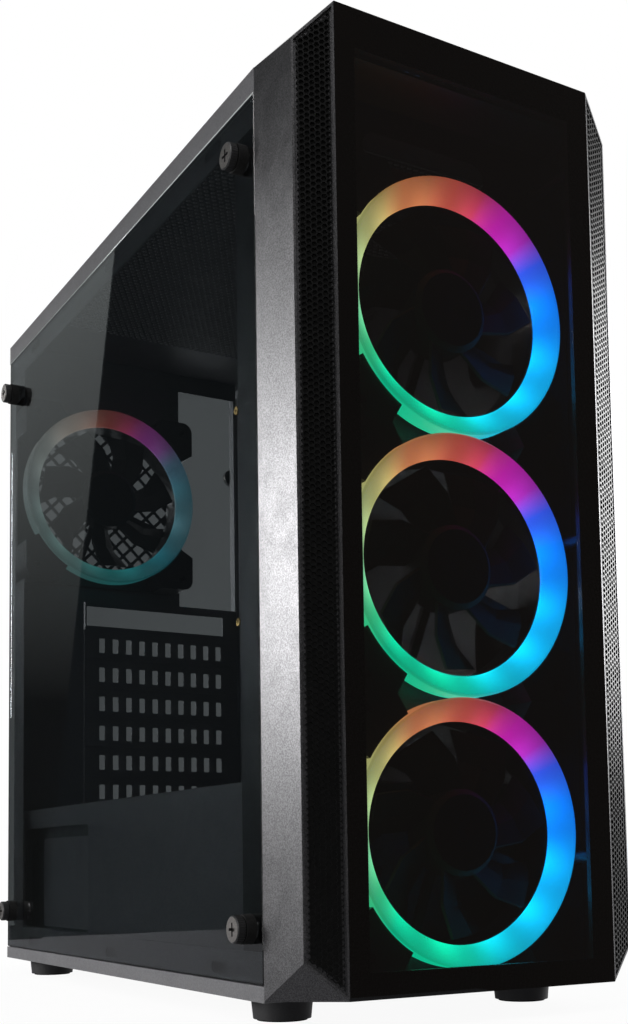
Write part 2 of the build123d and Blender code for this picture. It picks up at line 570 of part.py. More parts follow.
inlet = along_y(Pos(*INLET) * RectangleRounded(27, 20, 2.8), REAR_Y - 20, REAR_Y + 1.2)
inlet += along_y(Pos(*INLET) * RectangleRounded(31, 24, 3.5), REAR_Y, REAR_Y + 1.2)
mouth = chamfer(Rectangle(24.4, 16.6).vertices().group_by(Axis.Y)[-1], 4.5)
inlet -= along_y(Pos(*INLET) * mouth, REAR_Y - 16, REAR_Y + 2)
blade = block((-1, 1), (REAR_Y - 17, REAR_Y - 3), (-2, 2))
inlet += [Pos(INLET[0] + x, 0, INLET[1] + z) * blade for x, z in ((-7, -2), (0, 2), (7, -2))]
nodes["psu_inlet"] = inlet

switch = along_y(Pos(*SWITCH) * Rectangle(14.6, 20.6), REAR_Y - 14, REAR_Y + 1.2)
switch += along_y(Pos(*SWITCH) * Rectangle(17.4, 23.4), REAR_Y, REAR_Y + 1.2)
switch -= along_y(Pos(*SWITCH) * Rectangle(12.4, 18.6), REAR_Y - 12, REAR_Y + 2)
ROCKER_Y = REAR_Y - 4.0
switch += rod("X", 1.2, (ROCKER_Y, SWITCH[1]), (SWITCH[0] - 6.8, SWITCH[0] + 6.8))
nodes["psu_switch"] = switch
ROCKER_TILT = 9.0
paddle = polygon([(-3, -3), (2.5, -8.4), (6.6, -8.2), (5.0, 0), (6.6, 8.2), (2.5, 8.4), (-3, 3)])
rocker = along_x(paddle, SWITCH[0] - 6.0, SWITCH[0] + 6.0) - rod("X", 1.26, (0, 0), (-99, 99))
nodes["psu_rocker"] = Pos(0, ROCKER_Y, SWITCH[1]) * Rot(-ROCKER_TILT, 0, 0) * rocker

# Feet
FOOT_R = 13.0
FOOT_X = 67.5
FOOT_YS = (64.0, CASE_D - 31)
PAD_R = 11.3
PAD_T = 2.8
foot_section = [
    (0, PAD_T),
    (PAD_R + 0.3, PAD_T),
    (PAD_R + 0.3, 0.8),
    (FOOT_R, 0.8),
    (FOOT_R + 1, FOOT_H),
    (0, FOOT_H),
]
foot = Rot(90, 0, 0) * revolved(foot_section)
spots = [Pos(x, y, 0) for x in (-FOOT_X, FOOT_X) for y in FOOT_YS]
nodes["feet"] = Compound(children=[spot * foot for spot in spots])
pad = rod("Z", PAD_R, (0, 0), (0, PAD_T))
nodes["foot_pads"] = Compound(children=[spot * pad for spot in spots])


# Front bezel
def bezel_body(inset):
    """Faceted block of the bezel, made smaller by inset on its outer faces and open to the back."""
    back = BEZEL_D + (5 if inset else 0)
    x_side, x_front = HALF - inset, PANEL_HALF - inset * 0.45
    y_wing, y_front = WING_Y + inset * 0.75, inset
    rear = [(x_side, back, Z0 + BEZEL_GAP + 0.3 + inset), (x_side, back, Z1 - BEZEL_GAP + 0.2 - inset)]
    wing = [(x_side, y_wing, WING_Z0 + inset * 0.7), (x_side, y_wing, WING_Z1 - inset * 0.7)]
    front = [(x_front, y_front, PANEL_Z0 + inset), (x_front, y_front, PANEL_Z1 - inset * 1.3)]

    def flip(p):
        return (-p[0], p[1], p[2])

    loops = []
    for turn in (lambda p: p, flip):
        r0, r1, w0, w1, f0, f1 = [turn(p) for p in rear + wing + front]
        loops += [[r0, r1, w1, w0], [w0, w1, f1, f0], [r0, w0, f0], [r1, f1, w1]]
    for a, b in ((front[0], front[1]), (rear[1], rear[0])):
        loops.append([a, b, flip(b), flip(a)])
    for a, b in ((front[1], rear[1]), (rear[0], front[0])):
        loops.append([a, b, flip(b), flip(a)])
    return Solid(Shell([Face(Wire.make_polygon(loop)) for loop in loops]))


outer = bezel_body(0)
bezel = outer - bezel_body(BEZEL_WALL)
rim = block((-PANEL_HALF, PANEL_HALF), (PANEL_T, PANEL_T + BEZEL_WALL), (PANEL_Z0, PANEL_Z1))
bezel += rim & outer
bezel -= block((-PANEL_HALF - 0.1, PANEL_HALF + 0.1), (-1, PANEL_T), (0, PANEL_Z1 + 5))
WINDOW_HALF = PANEL_HALF - BORDER
WINDOW_Z = (PANEL_Z0 + BORDER, PANEL_Z1 - BORDER - 6)
bezel -= block((-WINDOW_HALF, WINDOW_HALF), (0, PANEL_T + BEZEL_WALL + 1), WINDOW_Z)

WING_W = hypot(HALF - PANEL_HALF, WING_Y)
WING_TURN = degrees(atan2(WING_Y, HALF - PANEL_HALF))
wing_plane = Plane(
    origin=(PANEL_HALF, 0, 0),
    x_dir=(cos(radians(WING_TURN)), sin(radians(WING_TURN)), 0),
    z_dir=(sin(radians(WING_TURN)), -cos(radians(WING_TURN)), 0),
)


def wing_plate(margin, depth0, depth1):
    """Trapezium of a wing, drawn in by margin, between two depths under its face."""
    slope0 = (WING_Z0 - PANEL_Z0) / WING_W
    slope1 = (PANEL_Z1 - WING_Z1) / WING_W
    a, b = margin, WING_W - margin
    shape = polygon(
        [
            (a, PANEL_Z0 + slope0 * a + margin * 1.4),
            (b, PANEL_Z0 + slope0 * b + margin * 1.4),
            (b, PANEL_Z1 - slope1 * b - margin * 1.4),
            (a, PANEL_Z1 - slope1 * a - margin * 1.4),
        ]
    )
    return extrude(wing_plane.offset(-depth1) * shape, amount=depth1 - depth0)


MESH_MARGIN = 1.2
mesh = wing_plate(MESH_MARGIN, 0.1, MESH_T)
MESH_ROWS = 24
mesh_step = (WING_Z1 - WING_Z0) / MESH_ROWS
for row in range(MESH_ROWS):
    hole = Pos(WING_W / 2, WING_Z0 + (row + 0.5) * mesh_step) * Rectangle(WING_W - 8, mesh_step - 5)
    mesh -= extrude(wing_plane.offset(-MESH_T - 1) * hole, amount=MESH_T + 2)
seat = wing_plate(MESH_MARGIN - 0.15, -1, MESH_T) + wing_plate(MESH_MARGIN + 1.6, -1, BEZEL_WALL + 3)
for side, turn in (("right", lambda shape: shape), ("left", lambda shape: mirror(shape, Plane.YZ))):
    nodes[f"mesh_{side}"] = turn(mesh)
    bezel -= turn(seat)
bezel += [rod("Y", PIN_R, p, (PANEL_T + 1, WALL_Y + 7)) for p in PINS]
nodes["front_panel"] = outer & block((-PANEL_HALF, PANEL_HALF), (-1, PANEL_T), (0, PANEL_Z1 + 5))

top_fall = PANEL_Z1 - (Z1 - BEZEL_GAP + 0.2)
top_plane = Plane(
    origin=(0, BEZEL_D / 2, PANEL_Z1 - top_fall / 2),
    x_dir=(1, 0, 0),
    z_dir=(0, top_fall, BEZEL_D),
)


def on_top(shape):
    """Places a shape drawn on the bezel's sloping top, whose face is z = 0."""
    return top_plane * shape


through = (-BEZEL_WALL - 2, 3)
USB_W, USB_H = 13.2, 5.8
port_x, port_y = USB_W / 2 + BUTTON_GAP, USB_H / 2 + BUTTON_GAP
cuts = [rod("Z", r + BUTTON_GAP, (x, 0), through) for x, r in ((POWER_X, POWER_R), (RESET_X, RESET_R))]
cuts += [rod("Z", 1.7, (x, 0), through) for x in LED_X]
cuts += [block((x - port_x, x + port_x), (-port_y, port_y), through) for x in USB_X]
cuts += [rod("Z", 3.5, (x, 0), through) for x in AUDIO_X]
bezel -= [on_top(cut) for cut in cuts]
BOARD_POSTS = ((POWER_X + RESET_X) / 2 - 0.2, (USB_X[1] + AUDIO_X[0]) / 2)
bezel += [on_top(rod("Z", 1.8, (x, 6), (-BOARD_DROP, -1))) for x in BOARD_POSTS]
nodes["front_bezel"] = bezel

io_board = block((POWER_X - 9, AUDIO_X[1] + 9), (-10, 10), (-BOARD_DROP - 1.6, -BOARD_DROP))
SWITCH_Z = -BOARD_DROP + 4
for x in (POWER_X, RESET_X):
    io_board += block((x - 3, x + 3), (-3, 3), (-BOARD_DROP, SWITCH_Z - 0.4))
    io_board += rod("Z", 1.6, (x, 0), (SWITCH_Z - 0.4, SWITCH_Z))
nodes["io_board"] = on_top(io_board)


def button(x, radius, travel):
    """Cap that stands proud of the bezel, a collar under its wall and a stem over the switch."""
    cap = rod("Z", radius, (x, 0), (-BEZEL_WALL - 1, 1.2))
    cap = chamfer(cap.edges().group_by(Axis.Z)[-1], 0.4)
    cap += rod("Z", radius + 1.2, (x, 0), (-BEZEL_WALL - 1.4, -BEZEL_WALL - 0.2))
    return on_top(cap + rod("Z", 1.8, (x, 0), (SWITCH_Z + travel, -BEZEL_WALL - 1)))


nodes["power_button"] = button(POWER_X, POWER_R, POWER_TRAVEL + 0.1)
nodes["reset_button"] = button(RESET_X, RESET_R, RESET_TRAVEL + 0.1)
lights = [rod("Z", 1.5, (x, 0), (-BOARD_DROP, 0.3)) for x in LED_X]
nodes["status_lights"] = Compound(children=[on_top(light) for light in lights])
ports = []
shell_x, shell_y = USB_W / 2 - 0.4, USB_H / 2 - 0.4
for x in USB_X:
    port = block((x - USB_W / 2, x + USB_W / 2), (-USB_H / 2, USB_H / 2), (-BOARD_DROP, -0.2))
    port -= block((x - shell_x, x + shell_x), (-shell_y, shell_y), (-BOARD_DROP + 3, 1))
    ports.append(on_top(port + block((x - 5.5, x + 5.5), (0.3, 1.9), (-BOARD_DROP + 2, -1.6))))
nodes["usb_ports"] = Compound(children=ports)
jacks = []
for x in AUDIO_X:
    jack = block((x - 4.5, x + 4.5), (-5, 5), (-BOARD_DROP, -BEZEL_WALL - 0.6))
    jack += rod("Z", 3.2, (x, 0), (-5, -0.2))
    jacks.append(on_top(jack - rod("Z", 1.8, (x, 0), (-BOARD_DROP + 1, 1))))
nodes["audio_jacks"] = Compound(children=jacks)

# Side window
glass_z = (Z0 + RAIL_BOTTOM + EDGE_GAP, Z1 - RAIL_TOP - EDGE_GAP)
glass = block((-HALF, -HALF + GLASS_T), (BEZEL_D + 0.5, CASE_D - 0.4), glass_z)
glass = chamfer(glass.faces().sort_by(Axis.X)[0].edges(), 0.6)
nodes["glass_panel"] = glass - [rod("X", 5.0, spot, (-HALF - 1, 0)) for spot in SCREW_SPOTS]
nodes["window_nuts"] = Compound(
    children=[
        rod("X", 4.5, spot, (-INNER_X, -INNER_X + NUT_L)) - rod("X", SHANK_R + 0.1, spot, (-INNER_X - 1, 0))
        for spot in SCREW_SPOTS
    ]
)
collars = []
for spot in SCREW_SPOTS:
    collar = rod("X", COLLAR_R, spot, (-HALF - COLLAR_T, -HALF))
    collar += rod("X", 4.8, spot, (-HALF, -HALF + GLASS_T - 0.1))
    collars.append(collar - rod("X", SHANK_R + 0.3, spot, (-HALF - COLLAR_T - 1, 0)))
nodes["window_collars"] = Compound(children=collars)


def thumbscrew(shank, length):
    """Thumbscrew on the Z axis with its head's underside at z = 0 and its shank below."""
    head = chamfer(Cylinder(HEAD_R, HEAD_T, align=(Align.CENTER, Align.CENTER, Align.MIN)).edges(), 0.5)
    for turn in (0, 90):
        head -= Rot(0, 0, turn) * block((-3, 3), (-0.6, 0.6), (HEAD_T - 1.6, HEAD_T + 1))
    return head + rod("Z", shank, (0, 0), (-length, 0))


for i, (y, z) in enumerate(SCREW_SPOTS):
    spot = Pos(-HALF - COLLAR_T - SCREW_GAP, y, z) * Rot(0, -90, 0)
    nodes[f"window_screw_{i + 1}"] = spot * thumbscrew(SHANK_R, SHANK_L)

# Right side panel, with a raised field for the cables behind the tray
panel_path = [
    (HALF - GLASS_T, BEZEL_D + 0.6),
    (HALF, BEZEL_D + 0.6),
    (HALF, CASE_D),
    (RIM_X + 1, CASE_D),
]
side = along_z(folded(panel_path), *glass_z)
for low, high in ((0, FLANGE_Z0), (FLANGE_Z1, Z1)):
    side -= block((0, HALF - SHEET), (CASE_D - 2, CASE_D + 1), (low, high))
side += [
    block((HALF - GLASS_T, HALF - SHEET), (BEZEL_D + 0.6, CASE_D - 2), (z, z + SHEET))
    for z in (glass_z[0], glass_z[1] - SHEET)
]
FIELD = 8.0
FIELD_MARGIN = 26.0
field_w = CASE_D - BEZEL_D - 2 * FIELD_MARGIN
field_h = glass_z[1] - glass_z[0] - 2 * FIELD_MARGIN
field_at = Pos((BEZEL_D + CASE_D) / 2, sum(glass_z) / 2)
raised = extrude(Plane.YZ.offset(HALF) * field_at * RectangleRounded(field_w, field_h, 14), FIELD, taper=45)
hollow_face = Plane.YZ.offset(HALF - SHEET) * field_at * RectangleRounded(field_w - 1.0, field_h - 1.0, 13.5)
side = side + raised - extrude(hollow_face, FIELD, taper=45)
for y, z in HOOK_SPOTS:
    side += block((INNER_X - 1.4, HALF - SHEET), (y - 8, y - 4), (z - 0.8, z + 0.8))
    side += block((INNER_X - 1.4, INNER_X - 0.4), (y - 13, y - 4), (z - 0.8, z + 0.8))
side -= [rod("Y", 1.9, (LIP_X, z), (CASE_D - 2, CASE_D + 1)) for z in PANEL_SCREW_ZS]
nodes["right_panel"] = side
for i, z in enumerate(PANEL_SCREW_ZS):
    spot = Pos(LIP_X, CASE_D + SCREW_GAP, z) * Rot(-90, 0, 0)
    nodes[f"panel_screw_{i + 1}"] = spot * thumbscrew(1.7, 8.0)

os.makedirs("parts", exist_ok=True)
for name, shape in nodes.items():
    solids = [Pos(0, -ORIGIN_Y, 0) * solid for solid in shape.solids()]
    export_step(solids[0] if len(solids) == 1 else Compound(children=solids), f"parts/{name}.step")
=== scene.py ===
# %% [markdown]
# # Dressing a desktop computer tower
#
# The tower stands as solids already: sheets, fans, bezel, window, each on the body that it moves with.
# This lesson gives those solids their finishes, and models what solids are too coarse for: punched steel,
# knurled screw heads, a bead along a pane's top whose pale colour is a painted highlight. Every length is in
# metres, and the front looks towards -Y.

import json
import math

import bmesh
import bpy
from mathutils import Matrix, Vector


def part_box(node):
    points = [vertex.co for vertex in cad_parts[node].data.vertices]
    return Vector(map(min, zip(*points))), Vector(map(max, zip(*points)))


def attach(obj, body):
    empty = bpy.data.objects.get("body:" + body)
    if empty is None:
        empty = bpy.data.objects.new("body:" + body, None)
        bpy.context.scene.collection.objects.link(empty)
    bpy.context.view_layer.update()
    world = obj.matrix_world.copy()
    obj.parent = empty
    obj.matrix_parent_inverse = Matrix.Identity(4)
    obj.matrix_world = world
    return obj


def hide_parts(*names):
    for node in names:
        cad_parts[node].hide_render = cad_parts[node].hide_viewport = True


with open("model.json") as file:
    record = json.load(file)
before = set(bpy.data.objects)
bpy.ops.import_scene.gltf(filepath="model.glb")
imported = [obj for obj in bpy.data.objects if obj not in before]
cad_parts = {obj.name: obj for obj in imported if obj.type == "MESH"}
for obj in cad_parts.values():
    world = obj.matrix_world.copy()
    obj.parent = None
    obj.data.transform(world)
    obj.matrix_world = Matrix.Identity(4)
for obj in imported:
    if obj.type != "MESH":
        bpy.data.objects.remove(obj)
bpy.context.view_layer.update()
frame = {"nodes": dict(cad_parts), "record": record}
MM = 0.001

# %% [markdown]
# ## Camera
#
# A product photographer stood left of the tower, low, and shifted the lens up so that the sides stay
# upright. Guessing such a view by eye takes many tries. It is quicker to solve it from known corners, and
# to write the answer as three turns, a place and a lens shift.

# %% Set the camera
YAW, PITCH, ROLL = (math.radians(angle) for angle in (30.193, 4.881, -0.872))
forward = Vector((math.sin(YAW) * math.cos(PITCH), math.cos(YAW) * math.cos(PITCH), math.sin(PITCH)))
level = Vector((math.cos(YAW), -math.sin(YAW), 0))
plumb = level.cross(forward)
sideways = level * math.cos(ROLL) + plumb * math.sin(ROLL)
upwards = plumb * math.cos(ROLL) - level * math.sin(ROLL)

lens = bpy.data.cameras.new("camera")
lens.lens = 46.21
lens.shift_x = -0.0063
lens.shift_y = 0.2334
camera = bpy.data.objects.new("camera", lens)
camera.matrix_world = Matrix((sideways, upwards, -forward)).transposed().to_4x4()
camera.location = (-0.3495, -0.66465, 0.0689)
bpy.context.scene.collection.objects.link(camera)
bpy.context.scene.camera = camera
bpy.context.scene.view_settings.view_transform = "Standard"
print("camera at", tuple(round(value, 3) for value in camera.location))

# %% [markdown]
# ## Node helpers
#
# Every finish below is a small tree: a pattern on object coordinates, a ramp that turns it into colour or
# roughness, and a bump. These helpers keep each finish to a few lines. Object coordinates keep the grain
# the same size on every piece, whatever its own size is.


# %% Define node helpers
def finish_base(name):
    """New material with its node tree and its main shader."""
    material = bpy.data.materials.new(name)
    material.use_nodes = True
    return material, material.node_tree, material.node_tree.nodes["Principled BSDF"]


def add_node(tree, kind, **settings):
    node = tree.nodes.new(kind)
    for key, value in settings.items():
        setattr(node, key, value)
    return node


def feed(tree, socket, value):
    """Links a socket, or sets a plain value."""
    if hasattr(value, "is_output"):
        tree.links.new(value, socket)
    else:
        socket.default_value = value


def sums(tree, operation, *values):
    """One Math node."""
    node = add_node(tree, "ShaderNodeMath", operation=operation)
    for socket, value in zip(node.inputs, values):
        feed(tree, socket, value)
    return node.outputs[0]


def axes(tree, vector):
    """The X, Y and Z of a vector."""
    split = add_node(tree, "ShaderNodeSeparateXYZ")
    feed(tree, split.inputs[0], vector)
    return split.outputs


def rescale(tree, value, *ends, **settings):
    """One Map Range node, whose ends are from low, from high, to low and to high."""
    node = add_node(tree, "ShaderNodeMapRange", **settings)
    for socket, end in zip(node.inputs, (value, *ends)):
        feed(tree, socket, end)
    return node.outputs[0]


def object_place(tree, centre=(0, 0, 0)):
    """Object coordinates measured from a centre."""
    mapping = add_node(tree, "ShaderNodeMapping")
    feed(tree, mapping.inputs["Vector"], add_node(tree, "ShaderNodeTexCoord").outputs["Object"])
    mapping.inputs["Location"].default_value = [-value for value in centre]
    return mapping.outputs["Vector"]


def grain(tree, size, detail=2.0):
    """Noise whose features are about size metres across."""
    noise = add_node(tree, "ShaderNodeTexNoise")
    feed(tree, noise.inputs["Vector"], object_place(tree))
    noise.inputs["Scale"].default_value = 1 / size
    noise.inputs["Detail"].default_value = detail
    return noise.outputs["Fac"]


def ramp(tree, value, *stops):
    """Colour ramp from (position, colour) stops, where a colour may be one grey."""
    node = add_node(tree, "ShaderNodeValToRGB")
    elements = node.color_ramp.elements
    while len(elements) < len(stops):
        elements.new(1.0)
    for element, (place, colour) in zip(elements, stops):
        element.position = place
        element.color = (*(colour if isinstance(colour, tuple) else (colour,) * 3), 1)
    feed(tree, node.inputs["Fac"], value)
    return node.outputs["Color"]


def between(tree, noise, low, high):
    """Ramp over the middle of a noise, which seldom comes near 0 or 1."""
    return ramp(tree, noise, (0.3, low), (0.7, high))


def seen_share(tree):
    """1 where a ray looks, mirrors or passes through glass, and 0 once it has been scattered."""
    path = add_node(tree, "ShaderNodeLightPath")
    seen = sums(tree, "MAXIMUM", path.outputs["Is Camera Ray"], path.outputs["Is Glossy Ray"])
    seen = sums(tree, "MAXIMUM", seen, path.outputs["Is Transmission Ray"])
    return sums(tree, "MULTIPLY", seen, sums(tree, "LESS_THAN", path.outputs["Diffuse Depth"], 0.5))


def bump(tree, shader, height, depth, strength):
    node = add_node(tree, "ShaderNodeBump")
    node.inputs["Strength"].default_value = strength
    node.inputs["Distance"].default_value = depth
    feed(tree, node.inputs["Height"], height)
    feed(tree, shader.inputs["Normal"], node.outputs["Normal"])


BROADER = 14


def coat_of(name, dark, pale, rough, grain_size, metallic=0.0, depth=0.00004, strength=0.3):
    """Even coat: colour and bump follow a fine grain, and roughness follows a broader one."""
    material, tree, shader = finish_base(name)
    noise = grain(tree, grain_size)
    feed(tree, shader.inputs["Base Color"], ramp(tree, noise, (0.35, dark), (0.65, pale)))
    feed(tree, shader.inputs["Roughness"], between(tree, grain(tree, grain_size * BROADER), *rough))
    shader.inputs["Metallic"].default_value = metallic
    bump(tree, shader, noise, depth, strength)
    return material


print("helpers ready")

# %% [markdown]
# ## Painted steel, satin trim and plastics
#
# The chassis has a fine powder coat, and the bezel's flat strips a silver-grey satin paint with flakes in
# it. One way is a photographed texture, but noise at the flakes' own size stays sharp from any distance.
# Metallic is part way, because flakes lie under a clear binder. The dullest blacks mirror less than the
# shader would by itself, so their specular level is lowered.

# %% Make the solid finishes
COATS = (
    # slot, name, darkest and palest colour, roughness, grain size, then metallic, bump depth and strength
    ("chassis_paint", "chassis paint", (0.085, 0.085, 0.09), (0.135, 0.133, 0.139), (0.42, 0.5), 0.0007, 0.2),
    (
        "bezel_plastic", "satin trim", (0.06, 0.06, 0.062), (0.155, 0.152, 0.158), (0.37, 0.43), 0.0006,
        0.9, 0.00003, 0.4,
    ),
    # the chassis paint darkened as painted shade, for the front wall's post and the perforated top
    ("shaded_chassis_paint", "chassis paint in painted shade", (0.013, 0.013, 0.014), (0.024, 0.024, 0.025), (0.48, 0.56), 0.0007),
    ("mesh_steel", "punched steel", (0.002, 0.002, 0.002), (0.005, 0.005, 0.005), (0.30, 0.36), 0.0006),
    ("psu_paint", "power supply coat", (0.016, 0.016, 0.017), (0.034, 0.034, 0.036), (0.52, 0.62), 0.0009),
    ("hub_plastic", "hub plastic", (0.014, 0.014, 0.015), (0.024, 0.024, 0.026), (0.40, 0.50), 0.0008),
    ("fan_black", "fan frame plastic", (0.008, 0.008, 0.009), (0.016, 0.016, 0.017), (0.36, 0.46), 0.0007),
    ("fan_blade", "blade plastic", (0.005, 0.005, 0.005), (0.010, 0.010, 0.009), (0.45, 0.55), 0.0009),
    ("socket_black", "socket plastic", (0.010, 0.010, 0.010), (0.020, 0.020, 0.020), (0.45, 0.55), 0.0006),
    ("rocker_plastic", "rocker plastic", (0.012, 0.012, 0.012), (0.022, 0.022, 0.022), (0.30, 0.40), 0.0006),
    ("foot_plastic", "foot plastic", (0.005, 0.005, 0.006), (0.011, 0.0105, 0.012), (0.45, 0.55), 0.0008),
    # rubber: black rubber darkened further as painted shade, so the screws' collars read as shadow
    ("rubber", "rubber", (0.004, 0.004, 0.004), (0.009, 0.009, 0.009), (0.70, 0.85), 0.0008),
    ("button_plastic", "button plastic", (0.020, 0.020, 0.021), (0.034, 0.034, 0.036), (0.30, 0.38), 0.0006),
    ("port_steel", "port plating", (0.42, 0.42, 0.43), (0.58, 0.58, 0.58), (0.25, 0.36), 0.0006, 1.0),
    ("screw_zinc", "screw plating", (0.36, 0.36, 0.37), (0.55, 0.55, 0.55), (0.28, 0.42), 0.0005, 1.0),
    ("brass", "brass", (0.50, 0.33, 0.12), (0.66, 0.46, 0.18), (0.28, 0.40), 0.0006, 1.0),
    ("circuit_board", "circuit board", (0.006, 0.030, 0.014), (0.012, 0.060, 0.026), (0.35, 0.45), 0.0016),
)
DULL_COATS = {"fan_blade": 0.2, "shaded_chassis_paint": 0.25, "mesh_steel": 0.2, "rubber": 0.2}
finishes = {slot: coat_of(*coat) for slot, *coat in COATS}
for slot, shine in DULL_COATS.items():
    finishes[slot].node_tree.nodes["Principled BSDF"].inputs["Specular IOR Level"].default_value = shine
print("solid finishes:", len(finishes))

# %% [markdown]
# ## Smoked window and smoked front
#
# Both are clear sheets dyed grey. A fully mixed-in black would hide the fans, so the light really passes
# through: transmission is full, the dye is the base colour, and the index of refraction bends what stands
# behind. A very faint wave in the roughness keeps the reflection from looking computed.


# %% Make the smoked sheets
DRIFT_SIZE = 0.05
DYE_DRIFT = 1.06
HAZE_DRIFT = 0.4


def smoked(name, dye, ior, haze):
    """Clear dyed sheet, whose haze is its greatest roughness."""
    material, tree, shader = finish_base(name)
    drift = grain(tree, DRIFT_SIZE, detail=1.0)
    paler = tuple(value * DYE_DRIFT for value in dye)
    feed(tree, shader.inputs["Base Color"], between(tree, drift, dye, paler))
    feed(tree, shader.inputs["Roughness"], between(tree, drift, haze * HAZE_DRIFT, haze))
    shader.inputs["Transmission Weight"].default_value = 1.0
    shader.inputs["IOR"].default_value = ior
    return material


finishes["smoked_glass"] = smoked("smoked glass", (0.40, 0.432, 0.448), 1.5, 0.006)
finishes["smoked_acrylic"] = smoked("smoked acrylic", (0.145, 0.14, 0.14), 1.49, 0.012)
print("smoked sheets ready")

# %% [markdown]
# ## Lit rings
#
# Each fan has a milky ring with small lamps along its inner edge, and the colours run once round it. The
# hue follows the angle about the fan's own axis, so each ring's pattern is centred there. Brightness rises
# towards the inner edge in patches, one for each lamp. The rear ring glows more weakly and in paler hues, so
# it has a list of its own.

# %% Make the lit ring finishes
RING_HUES = (
    (0.000, (0.40, 0.065, 0.045)),
    (0.042, (0.33, 0.028, 0.065)),
    (0.083, (0.45, 0.010, 0.36)),
    (0.125, (0.26, 0.015, 0.33)),
    (0.160, (0.03, 0.09, 0.80)),
    (0.208, (0.00, 0.18, 0.90)),
    (0.250, (0.00, 0.25, 1.00)),
    (0.300, (0.00, 0.40, 0.95)),
    (0.375, (0.00, 0.50, 0.92)),
    (0.417, (0.00, 0.48, 0.71)),
    (0.458, (0.00, 0.50, 0.60)),
    (0.500, (0.00, 0.58, 0.39)),
    (0.542, (0.00, 0.55, 0.29)),
    (0.625, (0.00, 0.46, 0.23)),
    (0.667, (0.03, 0.50, 0.21)),
    (0.728, (0.13, 0.38, 0.20)),
    (0.833, (0.33, 0.35, 0.13)),
    (0.875, (0.31, 0.24, 0.08)),
    (0.917, (0.44, 0.15, 0.055)),
    (0.958, (0.30, 0.10, 0.04)),
    (1.000, (0.40, 0.065, 0.045)),
)
REAR_HUES = (
    (0.000, (0.42, 0.08, 0.07)),
    (0.042, (0.38, 0.04, 0.12)),
    (0.083, (0.45, 0.06, 0.40)),
    (0.125, (0.25, 0.08, 0.30)),
    (0.160, (0.12, 0.25, 0.36)),
    (0.208, (0.06, 0.23, 0.29)),
    (0.292, (0.11, 0.29, 0.34)),
    (0.375, (0.01, 0.23, 0.29)),
    (0.500, (0.02, 0.34, 0.32)),
    (0.600, (0.14, 0.31, 0.28)),
    (0.750, (0.25, 0.31, 0.29)),
    (0.850, (0.36, 0.37, 0.33)),
    (0.920, (0.52, 0.38, 0.29)),
    (0.960, (0.32, 0.14, 0.09)),
    (1.000, (0.42, 0.08, 0.07)),
)
RING_LAMPS = 12
RING_BORE = 49.8 * MM
RING_REACH = 59.9 * MM
RING_SKIN = 0.06 * MM
FACE_LEVEL, BORE_RISE, LAMP_RISE, SIDE_RISE = 0.55, 0.30, 0.60, 0.20
FRONT_GLOW, REAR_GLOW = 9.25, 0.75


def lit_ring(name, centre, hues, glow):
    """Glow whose hue follows the angle round a centre, and whose level follows the radius."""
    material, tree, shader = finish_base(name)
    place = axes(tree, object_place(tree, centre))
    x, z = place["X"], place["Z"]
    turn = sums(tree, "DIVIDE", sums(tree, "ARCTAN2", x, z), 2 * math.pi)
    hue = ramp(tree, sums(tree, "FRACT", sums(tree, "ADD", turn, 1.0)), *hues)
    radius = sums(tree, "SQRT", sums(tree, "ADD", sums(tree, "POWER", x, 2.0), sums(tree, "POWER", z, 2.0)))
    inner = rescale(tree, radius, RING_BORE, RING_REACH, 1.0, 0.0)
    wave = sums(tree, "COSINE", sums(tree, "MULTIPLY", turn, 2 * math.pi * RING_LAMPS))
    patch = sums(tree, "MULTIPLY", sums(tree, "MULTIPLY_ADD", wave, -0.5, 0.5), inner)
    face = sums(tree, "MULTIPLY_ADD", inner, BORE_RISE, FACE_LEVEL)
    side = sums(tree, "MULTIPLY", sums(tree, "GREATER_THAN", radius, RING_REACH - RING_SKIN), SIDE_RISE)
    brightness = sums(tree, "ADD", sums(tree, "MULTIPLY_ADD", patch, LAMP_RISE, face), side)
    lit = add_node(tree, "ShaderNodeVectorMath", operation="SCALE")
    feed(tree, lit.inputs[0], hue)
    feed(tree, lit.inputs["Scale"], brightness)
    feed(tree, shader.inputs["Emission Color"], lit.outputs[0])
    shader.inputs["Emission Strength"].default_value = glow
    feed(tree, shader.inputs["Base Color"], between(tree, grain(tree, 0.004), 0.11, 0.15))
    shader.inputs["Roughness"].default_value = 0.45
    return material


FANS = ("front_fan_1", "front_fan_2", "front_fan_3", "rear_fan")
ring_finishes = {}
for fan in FANS:
    low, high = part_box(f"{fan}_ring")
    middle = [(a + b) / 2 for a, b in zip(low, high)]
    hues, glow = (REAR_HUES, REAR_GLOW) if fan == "rear_fan" else (RING_HUES, FRONT_GLOW)
    ring_finishes[f"{fan}_ring"] = lit_ring(f"{fan} light", middle, hues, glow)
print("rings:", len(ring_finishes))

# %% [markdown]
# ## Screw heads and status lights
#
# A thumbscrew is black on its knurled side and bright on its turned face. Two objects could carry the two
# finishes, but the face is simply where the surface looks along the screw, so the normal can choose.


# %% Make the remaining finishes
ALONG_SCREW = 0.9


